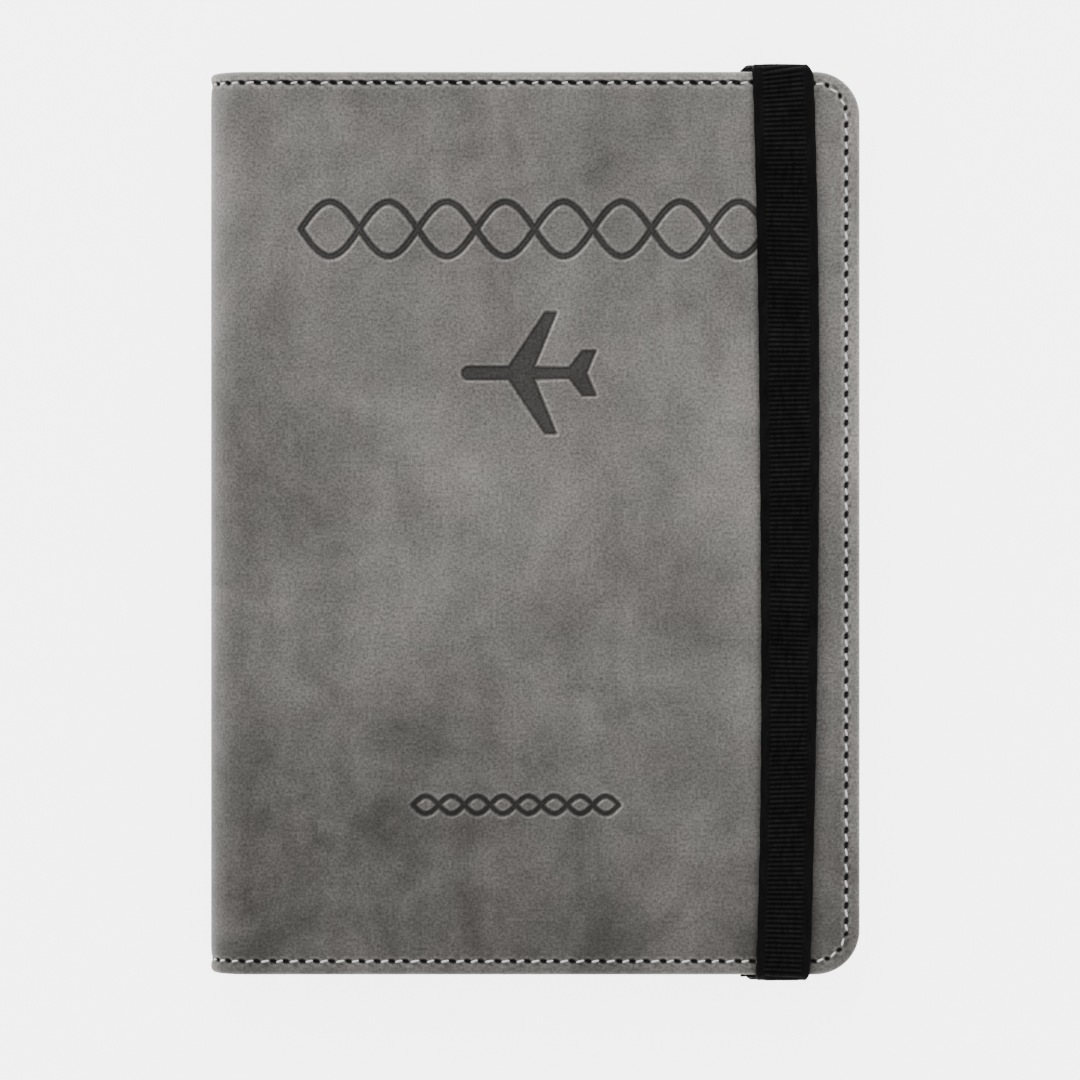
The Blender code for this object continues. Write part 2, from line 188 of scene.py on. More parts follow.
def hole_dips(along, across, length=HOLE_LENGTH):
    """How deep the skin is at a slanted needle hole, how dark its painted shade is there, and how much
    lighter a ring round the hole is.
    """
    u = along * math.cos(HOLE_LEAN) + across * math.sin(HOLE_LEAN)
    v = across * math.cos(HOLE_LEAN) - along * math.sin(HOLE_LEAN)
    d = np.sqrt((u / length) ** 2 + (v / HOLE_WIDTH) ** 2)
    dip = 0.5 * np.clip(1.25 - d, 0, 1)
    # painted shade in the needle hole
    dark = np.clip((1.35 - d) / 0.40, 0, 1)
    # a lighter ring round the hole
    lightened = 0.62 * np.exp(-((d - 2.05) / 0.65) ** 2)
    return dip, dark, lightened


def drawn_down(along, across):
    """The skin is drawn down under each stitch too, less than at the holes."""
    share = np.clip(np.abs(along) / STITCH_PITCH, 0, 0.5)
    return 0.06 * np.cos(share * 2 * math.pi) * np.exp(-(across / 0.6) ** 2)


def hole_lengths(count, end):
    """Half the length of each needle hole: along the head they are pulled wide, and unevenly."""
    return HOLE_LENGTH + np.clip(end, 0, 1) * (0.22 + 0.20 * np.sin(np.arange(count) * 2.7))


def seam_tone(along, across, inset, end):
    """Painted shade beside each thread, heavier on its outer side, and a painted shadow under the head's rim;
    a painted highlight along the bead.
    """
    head, tail = np.clip(end, 0, 1), np.clip(-end, 0, 1)
    between = np.clip(np.abs(along) / STITCH_PITCH * 4 - 1, 0, 1)
    outer_side = 0.7 + 0.3 * np.sign(-across)
    # painted shade beside each thread
    beside = 0.42 * outer_side * np.exp(-((np.abs(across) - 0.46) / 0.2) ** 2) * between
    # painted shadow under the head's rim
    under_rim = 0.85 * np.exp(-((across + 0.30) / 0.19) ** 2) * head
    # painted highlight along the bead, stronger at the head and the tail
    bead = (0.30 + 0.14 * head + 0.12 * tail) * np.clip((1.55 - inset) / 0.25, 0, 1)
    return beside + under_rim - bead


def which_end(s):
    """1 along the head's straight edge, -1 along the tail's and 0 elsewhere, soft at the corners."""
    s = np.asarray(s, float)
    return np.clip((s - OUTLINE_RUN + EDGE_RUN) / 2.5, 0, 1) - np.clip((EDGE_RUN - s) / 2.5, 0, 1)


# ---------------- meshes


SMOOTH_ANGLE = 48


def raised(places, heights):
    """Points at places on the plane, at these heights."""
    return np.concatenate([places, np.broadcast_to(heights, places.shape[:-1])[..., None]], -1)


def loop_edges(first, count):
    return [(first + i, first + (i + 1) % count) for i in range(count)]


def triangulated(points, edges):
    """Triangles between places on the plane, which keep the given edges."""
    made, _, faces, *_ = delaunay_2d_cdt([Vector(p[:2]) for p in points], edges, [], 1, 1e-7)
    return np.array([tuple(p) for p in made]), faces


class Shell:
    """Collects a piece's faces and points. Each point has its place on the flat sheet, a tone value, which
    holds pressing and painted shade and highlights, and a hole value, which paints shade into a needle hole.
    """

    def __init__(self):
        self.points, self.flat, self.press, self.hole, self.faces = [], [], [], [], []
        self.count = 0

    def add(self, points, flat=None, press=None, hole=None):
        points = np.asarray(points, float).reshape(-1, 3)
        n = len(points)
        flat = points[:, :2] if flat is None else np.asarray(flat, float).reshape(-1, 2)
        self.points.append(points)
        self.flat.append(flat)
        self.press.append(np.zeros(n) if press is None else np.asarray(press, float).reshape(-1))
        self.hole.append(np.zeros(n) if hole is None else np.asarray(hole, float).reshape(-1))
        first = self.count
        self.count += n
        return first

    def grid(self, points, closed=False, **values):
        """A grid of points[row, column]. Closed joins the last column to the first."""
        rows, columns = points.shape[:2]
        first = self.add(points, **values)
        ids = first + np.arange(rows * columns).reshape(rows, columns)
        if closed:
            ids = np.concatenate([ids, ids[:, :1]], axis=1)
        quads = np.stack([ids[:-1, :-1], ids[1:, :-1], ids[1:, 1:], ids[:-1, 1:]], -1).reshape(-1, 4)
        self.faces += [tuple(q) for q in quads.tolist()]
        return ids

    def tube(self, points, **values):
        """A closed grid with a face over each end."""
        ids = self.grid(points, closed=True, **values)
        self.faces += [tuple(ids[0, :-1].tolist()), tuple(ids[-1, :-1][::-1].tolist())]

    def build(self, name, material, weld=2e-6):
        """Makes the object, closed and facing outwards. Points nearer than weld, in metres, are joined."""
        mesh = bpy.data.meshes.new(name)
        points = np.concatenate(self.points) * MM
        mesh.from_pydata(points.tolist(), [], self.faces)
        for key, store in (("press", self.press), ("hole", self.hole)):
            layer = mesh.attributes.new(key, "FLOAT", "POINT")
            layer.data.foreach_set("value", np.concatenate(store).astype(np.float32))
        flat = np.concatenate(self.flat) * MM
        uv = mesh.uv_layers.new(name="flat")
        corners = np.empty(len(mesh.loops), np.int32)
        mesh.loops.foreach_get("vertex_index", corners)
        uv.data.foreach_set("uv", flat[corners].astype(np.float32).ravel())
        work = bmesh.new()
        work.from_mesh(mesh)
        bmesh.ops.remove_doubles(work, verts=work.verts, dist=weld)
        open_edges = [e for e in work.edges if e.is_boundary]
        if open_edges:
            filled = bmesh.ops.holes_fill(work, edges=open_edges, sides=0)
            bmesh.ops.triangulate(work, faces=filled["faces"])
        bmesh.ops.recalc_face_normals(work, faces=work.faces)
        work.to_mesh(mesh)
        left = sum(e.is_boundary for e in work.edges)
        work.free()
        if left:
            print(f"{name}: {left} open edges")
        mesh.materials.append(material)
        mesh.shade_smooth()
        mesh.set_sharp_from_angle(angle=math.radians(SMOOTH_ANGLE))
        thing = bpy.data.objects.new(name, mesh)
        bpy.context.scene.collection.objects.link(thing)
        return thing


# ---------------- the pressed pattern


def near_polyline(places, line):
    """The distance from each place to an open line of points."""
    best = np.full(len(places), 1e9)
    for a, b in zip(line[:-1], line[1:]):
        d = b - a
        t = np.clip(((places - a) @ d) / (d @ d), 0, 1)
        best = np.minimum(best, np.linalg.norm(places - a - t[:, None] * d, axis=1))
    return best


def twist_distance(places, centre, length, height, stroke, loops=8):
    """The distance to two crossing waves that make a chain of loops. It is negative inside a stroke."""
    t = np.linspace(0, 1, loops * 18 + 1)
    best = np.full(len(places), 1e9)
    for side in (1, -1):
        y = centre[1] + side * (height - stroke) / 2 * np.sin(math.pi * loops * t)
        line = np.stack([centre[0] + (t - 0.5) * length, y], -1)
        best = np.minimum(best, near_polyline(places, line))
    return best - stroke / 2


def aircraft_outline(centre, length, span, body):
    """A plain aircraft seen from above, nose to -X: a round-nosed body, swept wings and a swept tailplane."""
    reach, tip = length / 2, span / 2
    half = [
        (-0.30 * reach, 0.5 * body), (0.24 * reach, tip), (0.41 * reach, tip), (0.08 * reach, 0.47 * body),
        (0.60 * reach, 0.40 * body), (0.80 * reach, 0.37 * tip), (reach, 0.37 * tip),
    ]
    turn = np.radians(np.linspace(265, 95, 14))
    nose = [(body / 2 - reach + body / 2 * math.cos(a), body / 2 * math.sin(a)) for a in turn]
    lower = [(x, -y) for x, y in reversed(half)]
    return np.array(nose + half + [(0.86 * reach, 0.0)] + lower) + np.array(centre)


def polygon_distance(places, corners):
    """The distance to a closed outline, negative inside it."""
    loop = np.concatenate([corners, corners[:1]])
    inside = np.zeros(len(places), bool)
    for a, b in zip(loop[:-1], loop[1:]):
        crosses = (a[1] > places[:, 1]) != (b[1] > places[:, 1])
        if abs(b[1] - a[1]) > 1e-12:
            at = (b[0] - a[0]) * (places[:, 1] - a[1]) / (b[1] - a[1]) + a[0]
            inside ^= crosses & (places[:, 0] < at)
    return np.where(inside, -1, 1) * near_polyline(places, loop)


TITLE_PLACE = (0.0, 47.2)
AIRCRAFT_PLACE = (-0.9, 24.1)
FOOT_PLACE = (-3.0, -45.2)
AIRCRAFT = aircraft_outline(AIRCRAFT_PLACE, 21.5, 19.5, 2.1)
# Each mark's centre, the half size and spacing of its fine patch, its distance function, wall width and depth
MARKS = [
    (TITLE_PLACE, (39.0, 5.9), 0.20, lambda p: twist_distance(p, TITLE_PLACE, 75, 9.8, 1.05), 0.16, 0.34),
    (AIRCRAFT_PLACE, (12.2, 10.8), 0.20, lambda p: polygon_distance(p, AIRCRAFT) - 0.12, 0.17, 0.36),
    (FOOT_PLACE, (17.8, 3.0), 0.17, lambda p: twist_distance(p, FOOT_PLACE, 33, 3.6, 0.8), 0.14, 0.28),
]
# The way from which the marks' rims catch the light: their painted highlight is brightest where they face
# this way
RIM_FACING = np.array((0.83, -0.55))


def pressed(distance, wall, depth, facing):
    """Depth and tone at a distance from a mark's edge: a soft wall, a floor pressed darker with painted shade
    at the wall's foot, and a painted highlight on the rim.
    """
    t = np.clip((wall - distance) / (2 * wall), 0, 1)
    step = t * t * (3 - 2 * t)
    swell = 0.035 * np.exp(-((distance - 0.45) / 0.35) ** 2) * (distance > 0)
    dark = np.clip((0.10 - distance) / 0.24, 0, 1)
    # painted shade at the foot of the wall
    foot = np.exp(-((distance + 0.22) / 0.16) ** 2)
    # painted highlight on the rim, brightest where it faces RIM_FACING
    rim = np.exp(-((distance - 0.27) / 0.14) ** 2) * (0.35 + 0.65 * np.clip(facing, 0, 1))
    return depth * step - swell, dark * (0.80 + 0.20 * foot) - rim * (1 - dark)


def mark_patch(mark):
    """A fine grid over a mark: its places, how deep they are pressed, and how dark they are, painted shade
    and highlights included.
    """
    centre, half, step, distance, wall, depth = mark
    xs = np.linspace(centre[0] - half[0], centre[0] + half[0], round(2 * half[0] / step) + 1)
    ys = np.linspace(centre[1] - half[1], centre[1] + half[1], round(2 * half[1] / step) + 1)
    places = np.stack(np.meshgrid(xs, ys, indexing="ij"), -1).reshape(-1, 2)
    # pull the grid's points that are nearly on a mark's edge onto it, so the edge is a clean line
    d = distance(places)
    h = 0.02
    slope = np.stack([distance(places + (h, 0)) - d, distance(places + (0, h)) - d], -1) / h
    inner = np.zeros((len(xs), len(ys)), bool)
    inner[1:-1, 1:-1] = True
    pull = (np.abs(d) < 0.45 * step) & inner.ravel()
    places[pull] -= (d[:, None] * slope)[pull]
    facing = (slope @ RIM_FACING) / np.maximum(np.linalg.norm(slope, axis=1), 0.1)
    marked = pressed(distance(places), wall, depth, facing)
    dip, dark = (value.reshape(inner.shape) * inner for value in marked)
    return places.reshape(*inner.shape, 2), dip, dark


# ---------------- the cover panels


FILL_PITCH = 3.0


def profile(seam):
    """The outer profile where the seam has this inset, as insets and depths: its dip moves with the seam."""
    inset, depth = OUTER_PROFILE.T
    share = np.clip(1 - np.abs(inset - SEAM) / SEAM, 0, 1)
    moved = inset + (np.asarray(seam)[..., None] - SEAM) * share
    return moved, np.broadcast_to(depth, moved.shape)


def arc_from_flat(inset, depth):
    """How far along the profile each point is from the flat's edge."""
    steps = np.sqrt(np.diff(inset) ** 2 + np.diff(depth) ** 2)
    return np.concatenate([np.zeros_like(steps[..., :1]), np.cumsum(steps, axis=-1)], -1)


def triangle_fill(shell, boundary, patches, z_of, flat_of):
    """Fills the flat region inside a boundary with triangles, leaving the fine patches out."""
    points = [tuple(p) for p in boundary]
    edges = loop_edges(0, len(points))
    boxes = []
    for places, _, _ in patches:
        rim = np.concatenate([places[:-1, 0], places[-1, :-1], places[:0:-1, -1], places[0, :0:-1]])
        edges += loop_edges(len(points), len(rim))
        points += [tuple(p) for p in rim]
        boxes.append((rim.min(0), rim.max(0)))
    low, high = boundary.min(0), boundary.max(0)
    for x in np.arange(low[0] + 1.7, high[0] - 1.2, FILL_PITCH):
        for y in np.arange(low[1] + 1.7, high[1] - 1.2, FILL_PITCH):
            spot = np.array((x, y))
            in_corner = x > FORE - CORNER and abs(y) > HEAD - CORNER
            if not in_corner and all(np.any(spot < a - 0.8) or np.any(spot > b + 0.8) for a, b in boxes):
                points.append((x, y))
    made, faces = triangulated(points, edges)
    first = shell.add(raised(made, z_of(0.0)), flat=flat_of(made))
    for face in faces:
        middle = made[list(face)].mean(0)
        if not any(np.all(middle > a) and np.all(middle < b) for a, b in boxes):
            shell.faces.append(tuple(first + i for i in face))


def cover_panel(name, front, material):
    """A cover's leather: flat, stitched rim, and the edges turned in, closed by its hidden inner face."""

    def z_of(depth):
        return THICK - depth if front else np.asarray(depth, float)

    def flat_of(places):
        places = np.asarray(places, float)
        if front:
            return places
        return np.stack([2 * SPINE - SPINE_ARC - places[..., 0], places[..., 1]], -1)

    shell = Shell()
    s = samples_with_holes(0.0, OUTLINE_RUN, HOLES)
    hole = nearest_hole(s, HOLES)
    inset, depth = profile(seam_inset(s))
    along = (s - HOLES[hole])[:, None]
    across = inset - seam_inset(s)[:, None]
    lengths = hole_lengths(len(HOLES), which_end(HOLES))[hole, None]
    dip, dark, lightened = hole_dips(along, -across if front else across, lengths)
    # painted shade by the threads and under the head's rim, a painted highlight on the bead, and lighter
    # rings round the holes
    tone = seam_tone(along, across, inset, which_end(s)[:, None]) - lightened * (1 - dark)
    depth = depth + dip + drawn_down(along, across)
    skin = raised(outline(s[:, None], inset), z_of(depth))
    run = FLAT_INSET - arc_from_flat(inset, depth - dip)
    shell.grid(skin, flat=flat_of(outline(s[:, None], run)), hole=dark, press=tone)
    turned_in = raised(outline(s[:, None], INNER_PROFILE[None, :, 0]), z_of(INNER_PROFILE[:, 1]))
    lip = np.concatenate([skin[:, -1:], turned_in], 1)
    shell.grid(lip, flat=flat_of(lip[..., :2]))
    patches = [mark_patch(mark) for mark in MARKS] if front else []
    rim = skin[:, 0, :2]
    sides = np.arange(rim[-1, 1] - FILL_PITCH, rim[0, 1] + FILL_PITCH / 2, -FILL_PITCH)
    closing = np.stack([np.full(len(sides), SPINE), sides], -1)
    triangle_fill(shell, np.concatenate([rim, closing]), patches, z_of, flat_of)
    for places, dip, dark in patches:
        shell.grid(raised(places, z_of(dip)), flat=flat_of(places), press=dark)
    boundary = outline(s, FLAT_INSET)
    first = shell.add(raised(boundary, z_of(INNER_PROFILE[-1, 1])), flat=flat_of(boundary))
    shell.faces.append(tuple(range(first, first + len(boundary))))
    return shell.build(name, material)


# ---------------- the spine


def spine_place(turn, depth):
    """A place in the round section of the spine, as x and z, at a turn in radians from the back cover."""
    r = RADIUS - depth
    return SPINE - r * np.sin(turn), RADIUS - r * np.cos(turn)


def spine_stitch_turns():
    count = round(SPINE_ARC / STITCH_PITCH)
    return (np.arange(count) + 0.5) * math.pi / count


def spine_half(name, upper, material):
    """Half of the spine's leather, from a cover to the fold's middle, with its stitched ends turned in."""
    start, end = (math.pi / 2, math.pi) if upper else (0.0, math.pi / 2)
    holes = spine_stitch_turns() * RADIUS
    arc = samples_with_holes(start * RADIUS, end * RADIUS, holes)
    along = (arc - holes[nearest_hole(arc, holes)])[:, None]
    sections = []

    def section(y, v, depth=0.0, hole=0.0, tone=0.0):
        """Columns of the skin: y, the place v on the flat sheet, how deep they are, how much of a hole's
        painted shade they get, and their tone, painted shade and highlights included.
        """
        sections.append([np.broadcast_to(value, (len(along), len(y))) for value in (y, v, depth, hole, tone)])

    def stitched_end(sign, seam):
        inset, depth = profile(seam)
        run = FLAT_INSET - arc_from_flat(inset, depth)
        across = (inset - seam)[None, :]
        dip, dark, lightened = hole_dips(along, across * sign)
        # painted shade by the threads and under the head's rim, a painted highlight on the bead, and lighter
        # rings round the holes
        tone = seam_tone(along, across, inset[None, :], sign) - lightened * (1 - dark)
        depth = depth[None, :] + dip + drawn_down(along, across)
        columns = (sign * (HEAD - inset), sign * (HEAD - run), depth, dark, tone)
        section(*(column[..., ::sign] for column in columns))

    middle = np.linspace(FLAT_INSET - HEAD, HEAD - FLAT_INSET, 30)[1:-1]
    inner_y = np.concatenate([HEAD - INNER_PROFILE[:, 0], INNER_PROFILE[::-1, 0] - HEAD])
    inner_depth = np.concatenate([INNER_PROFILE[:, 1], INNER_PROFILE[::-1, 1]])
    stitched_end(-1, SEAM)
    section(middle, middle)
    stitched_end(1, SEAM_HEAD)
    section(inner_y, inner_y, inner_depth)
    y, v, depth, hole, tone = (np.concatenate(columns, 1) for columns in zip(*sections))
    arcs = np.broadcast_to(arc[:, None], y.shape)
    x, z = spine_place(arcs / RADIUS, depth)
    flat = np.stack([SPINE - SPINE_ARC + arcs, v], -1)
    shell = Shell()
    shell.grid(np.stack([x, y, z], -1), closed=True, flat=flat, hole=hole, press=tone)
    return shell.build(name, material)


# ---------------- stitches


def stitch(shell, a, b, up, radius=0.165, lift=0.12, sink=0.42, slant=0.17, gap=0.20):
    """One stitch from hole a to hole b: a plump two-ply thread that dives into both."""
    a, b, up = (np.array(v, float) for v in (a, b, up))
    along = b - a
    length = np.linalg.norm(along)
    along = along / length
    side = np.cross(up, along)
    rings, sides = 11, 8
    t = np.linspace(gap, 1 - gap, rings)
    rise = np.sin(math.pi * np.linspace(0, 1, rings)) ** 0.55
    centre = a + along * length * t[:, None] + side * ((t - 0.5) * 2.6 * slant)[:, None]
    centre = centre + up * (-sink + (sink + lift) * rise)[:, None]
    swell = radius * (0.78 + 0.34 * np.sin(math.pi * t))
    turn = np.linspace(0, 2 * math.pi, sides, endpoint=False)
    ply = 1 + 0.14 * np.abs(np.cos(turn[None, :] - t[:, None] * 7.5)) - 0.07
    ring = np.cos(turn)[None, :, None] * side + np.sin(turn)[None, :, None] * up
    points = centre[:, None, :] + ring * (swell[:, None] * ply)[..., None]
    shell.tube(points, flat=np.stack(np.broadcast_arrays(t[:, None] * length, turn * radius), -1))


def inner_level(spot, front):
    """The height of the innermost layer of a cover at a spot."""
    layers = ("front_cover_lining", *FRONT_POCKETS) if front else ("back_cover_lining", *BACK_POCKETS)
    levels = []
    for node in layers:
        low, high = box_mm(node)
        if low.x < spot[0] < high.x and low.y < spot[1] < high.y:
            levels.append(low.z if front else high.z)
    return min(levels) if front else max(levels)


def cover_stitches(name, front, material):
    """The stitches round a cover: the needle thread outside and the bobbin thread on the inner face."""
    shell = Shell()
    places = outline(HOLES, seam_inset(HOLES))
    at_head = np.clip(which_end(HOLES), 0, 1)  # the thread is pulled thinner and shorter there
    facing = 1 if front else -1
    up = np.array((0, 0, facing))
    z = THICK - THREAD_DEPTH if front else THREAD_DEPTH
    for i, (a, b) in enumerate(zip(places[:-1], places[1:])):
        slant = (0.19 + 0.04 * math.sin(i * 1.9)) * facing
        gap = 0.20 + at_head[i] * (0.07 + 0.05 * math.sin(i * 2.7))
        radius, lift = 0.165 - 0.02 * at_head[i], 0.12 - 0.08 * at_head[i]
        stitch(shell, (*a, z), (*b, z), up, radius=radius, lift=lift, slant=slant, gap=gap)
        level = inner_level((a + b) / 2, front)
        stitch(shell, (*a, level), (*b, level), -up, radius=0.13, lift=0.05, sink=0.12, slant=0.05, gap=0.14)
    return shell.build(name, material)


def spine_stitches(name, upper, material):
    """The stitches round the spine's two ends. Those over the middle go with the upper half."""
    shell = Shell()
    turns = spine_stitch_turns()
    rows = (SEAM - HEAD, HEAD - SEAM_HEAD)

    def at(turn, y, depth):
        x, z = spine_place(turn, depth)
        return x, y, z

    def outward(turn):
        return np.array((-math.sin(turn), 0, -math.cos(turn)))

    for a, b in zip(turns[:-1], turns[1:]):
        half = (a + b) / 2
        if (half >= math.pi / 2 - 1e-6) != upper:
            continue
        for y in rows:
            stitch(shell, at(a, y, THREAD_DEPTH), at(b, y, THREAD_DEPTH), outward(half), gap=0.18)
            inner = [at(turn, y, LINING_DEPTH + LINING) for turn in (a, b)]
            stitch(shell, *inner, -outward(half), radius=0.12, lift=0.04, sink=0.10, slant=0.04, gap=0.14)
    last, edge = (turns[-1], math.pi) if upper else (turns[0], 0.0)
    cover_z = THICK - THREAD_DEPTH if upper else THREAD_DEPTH
    for y in rows:
        on_cover = (SPINE + STITCH_PITCH / 2, y, cover_z)
        stitch(shell, at(last, y, THREAD_DEPTH), on_cover, outward((last + edge) / 2))
    return shell.build(name, material)


# ---------------- the elastic band


BAND_LOW, BAND_HIGH = box_mm("elastic_band")
BAND_X = (BAND_LOW.x + BAND_HIGH.x) / 2
BAND_WIDTH = BAND_HIGH.x - BAND_LOW.x
BAND_THICK = 0.8
BAND_BEND = 1.15  # radius of its middle line where it turns over the head and the tail
BAND_TOP = BAND_HIGH.z - BAND_THICK / 2 - 0.05
BAND_OUTER = {1: BAND_HIGH.y - BAND_THICK / 2 - 0.05, -1: BAND_HIGH.y - BAND_THICK / 2 - 0.35}
RIB_PITCH = 0.77
LEG_TOP = 11.6  # the legs end here


def band_centre(y):
    """The band bows a little towards the fore edge between the head and the tail."""
    return BAND_X - 0.65 + 1.07 * (1 - np.abs(y / HEAD) ** 2.4)


def band_width(y):
    """It is drawn a little narrower towards the tail."""
    return BAND_WIDTH - 1.15 * np.exp(-((y + 58) / 60) ** 2)


def band_pinch(y):
    """How far the band's fore side is drawn in where it turns over an edge of the wallet."""
    return np.clip((np.abs(y) - HEAD + 0.7) / 1.6, 0, 1) ** 2.2


def band_path(step):
    """The band's middle line from the tail's leg to the head's: s along it, (y, z) and its outward way."""
    flat = BAND_OUTER[1] + BAND_OUTER[-1] - 2 * BAND_BEND
    drop = BAND_TOP - BAND_BEND - LEG_TOP
    bend = math.pi / 2 * BAND_BEND
    total = 2 * drop + 2 * bend + flat
    s = np.linspace(0, total, round(total / step) + 1)
    bends = np.clip((s - drop) / bend, 0, 1) + np.clip((s - drop - bend - flat) / bend, 0, 1)
    turn = math.pi - bends * math.pi / 2
    out = np.stack([np.cos(turn), np.sin(turn)], -1)
    y = BAND_BEND - BAND_OUTER[-1] + np.clip(s - drop - bend, 0, flat)
    z = LEG_TOP + np.clip(s, 0, drop) - np.clip(s - drop - 2 * bend - flat, 0, drop)
    return s, np.stack([y, z], -1) + out * BAND_BEND, out


def ribbed(shell, s, places, out, centre, width):
    """Sweeps the woven section: ribs across the middle, smooth selvedges and a plain inner face."""
    selvedge = np.linspace(0.90, 1, 4)
    c = np.concatenate([-selvedge[::-1], np.linspace(-0.84, 0.84, 17), selvedge])[None, :]
    near_head = np.exp(-((s - s[-1]) / 7) ** 2)[:, None]
    wander = (0.16 * np.sin(s / 9.0 + 1.3)[:, None] - 0.50 * near_head) * c + 0.07 * np.sin(s / 2.9)[:, None]
    wave = np.cos(2 * math.pi * (s[:, None] + wander) / RIB_PITCH)
    middle = np.clip((0.69 - np.abs(c + 0.02)) / 0.05, 0, 1)
    bulge = 0.12 * wave * middle - 0.04 * middle
    strand = 0.02 * np.cos(c * 62) * (1 - middle)
    round_off = np.sqrt(np.clip(1 - np.clip((np.abs(c) - 0.90) / 0.10, 0, 1) ** 2, 0, 1))
    thick = BAND_THICK / 2 * round_off
    x = centre[:, None] + c * width[:, None] / 2

    def face(height):
        yz = places[:, None, :] + out[:, None, :] * height[..., None]
        return np.concatenate([x[..., None], yz], -1)

    top = face(thick + (bulge + strand) * (round_off > 0.5))
    ring = np.concatenate([top, face(-thick)[:, ::-1][:, 4:-4:4]], 1)
    # painted shade in the grooves between the ribs; the selvedges are a darker weave
    rib = np.clip(0.5 - 0.6 * wave, 0, 1) * middle + 0.68 * (1 - middle)
    press = np.concatenate([rib, np.zeros((len(s), ring.shape[1] - rib.shape[1]))], 1)
    flat = np.stack(np.broadcast_arrays(ring[..., 0] - centre[:, None], s[:, None]), -1)
    shell.tube(ring, flat=flat, press=press)


def band_run(material):
    shell = Shell()
    s, places, out = band_path(0.105)
    y = places[:, 0]
    crumple = 0.07 * np.exp(-((np.abs(y) - HEAD) / 5) ** 2) * np.sin(s * 1.7) + 0.03 * np.sin(s * 0.9)
    ribbed(shell, s, places, out, band_centre(y) - band_pinch(y) / 2 + crumple, band_width(y) - band_pinch(y))
    return shell.build("elastic_band_run", material, weld=1e-7)


def band_leg(name, sign, material):
    """The part of the band that goes down past the covers' edges to the sewn end."""
    low = BAND_LOW.z
    s = np.linspace(low, LEG_TOP, round((LEG_TOP - low) / 0.11) + 1)
    t = (s - low) / (LEG_TOP - low)
    belly = 0.25 * np.sin(math.pi * t) ** 1.5
    lean = -1.6 * (1 - t) ** 0.6 * np.clip((1 - t) * 8, 0, 1)
    places = np.stack([sign * (BAND_OUTER[sign] + belly), s], -1)
    out = np.stack([np.full(len(s), float(sign)), np.zeros(len(s))], -1)
    y = np.full(len(s), BAND_OUTER[sign] * sign)
    pinch = band_pinch(y)
    shell = Shell()
    ribbed(shell, s, places, out, band_centre(y) - pinch / 2 + lean, band_width(y) - pinch)
    return shell.build(name, material, weld=1e-7)


def band_end(name, sign, material):
    """The sewn-in end lies under the lining. Its free side shows past the cover's edge beside the band."""
    low, high = BAND_END_LOW, BAND_END_HIGH
    middle = low.z + 0.225
    inside = min(abs(low.y), abs(high.y))
    band_side = band_centre(HEAD) - band_width(HEAD) / 2
    x, t = np.meshgrid(np.linspace(low.x, high.x, 28), np.linspace(0, 1, 26))
    free = np.clip((band_side + 0.3 - x) / 0.9, 0, 1)
    reach = 72.75 + 0.85 * free
    y = inside + (reach - inside) * t
    z = middle + 0.30 * free * np.clip((t - 0.8) / 0.2, 0, 1) ** 2
    half = 0.19 * np.sqrt(np.clip(1 - np.clip((t - 0.97) / 0.03, 0, 1) ** 2, 0.02, 1))
    top = np.stack([x, sign * y, z + half], -1)
    under = np.stack([x, sign * y, z - half], -1)
    ring = np.concatenate([top, under[:, ::-1]], 1)
    shell = Shell()
    shell.tube(ring, flat=np.stack([ring[..., 0] - BAND_X, np.abs(ring[..., 1])], -1))
    return shell.build(name, material, weld=1e-7)


# ---------------- the inside


def unit(vectors):
    return vectors / np.linalg.norm(vectors, axis=1)[:, None]


def soft_panel(name, corners, z_low, z_high, material):
    """A thin sheet cut to an outline, with rounded cut edges."""
    roll = 0.12
    corners = np.asarray(corners, float)
    dense = []
    for a, b in zip(corners, np.roll(corners, -1, 0)):
        n = max(1, round(np.linalg.norm(b - a) / 1.2))
        dense += [a + (b - a) * i / n for i in range(n)]
    dense = np.array(dense)
    tangent = unit(unit(np.roll(dense, -1, 0) - dense) + unit(dense - np.roll(dense, 1, 0)))
    inward = np.stack([-tangent[:, 1], tangent[:, 0]], -1)
    half = (z_high - z_low) / 2
    mid = (z_high + z_low) / 2
    rings = []
    for a in np.radians([90, 60, 30, 0, -30, -60, -90]):
        rings.append(raised(dense + inward * roll * (1 - math.cos(a)), mid + half * math.sin(a)))
    shell = Shell()
    shell.grid(np.stack(rings, 0), closed=True)
    for ring, level in ((rings[0], z_high), (rings[-1], z_low)):
        rim = ring[:, :2]
        low, high = rim.min(0), rim.max(0)
        xs, ys = (np.arange(low[i] + 2, high[i] - 1, FILL_PITCH) for i in (0, 1))
        inner = np.stack(np.meshgrid(xs, ys), -1).reshape(-1, 2)
        inner = inner[polygon_distance(inner, rim) < -1.1]
        made, faces = triangulated([*rim, *inner], loop_edges(0, len(rim)))
        first = shell.add(raised(made, level))
        shell.faces += [tuple(first + i for i in face) for face in faces]
    return shell.build(name, material)


def cover_outline(x_start):
    """A closed outline for a sheet on a cover, from x_start to the round corners of the fore edge."""
    first = np.linspace(EDGE_RUN, EDGE_RUN + BEND_RUN, 9)
    turned = outline(np.concatenate([first, first + BEND_RUN + SIDE_RUN]), LINING_INSET)
    return np.concatenate([[(x_start, LINING_INSET - HEAD)], turned, [(x_start, HEAD - LINING_INSET)]])


# ---------------- materials


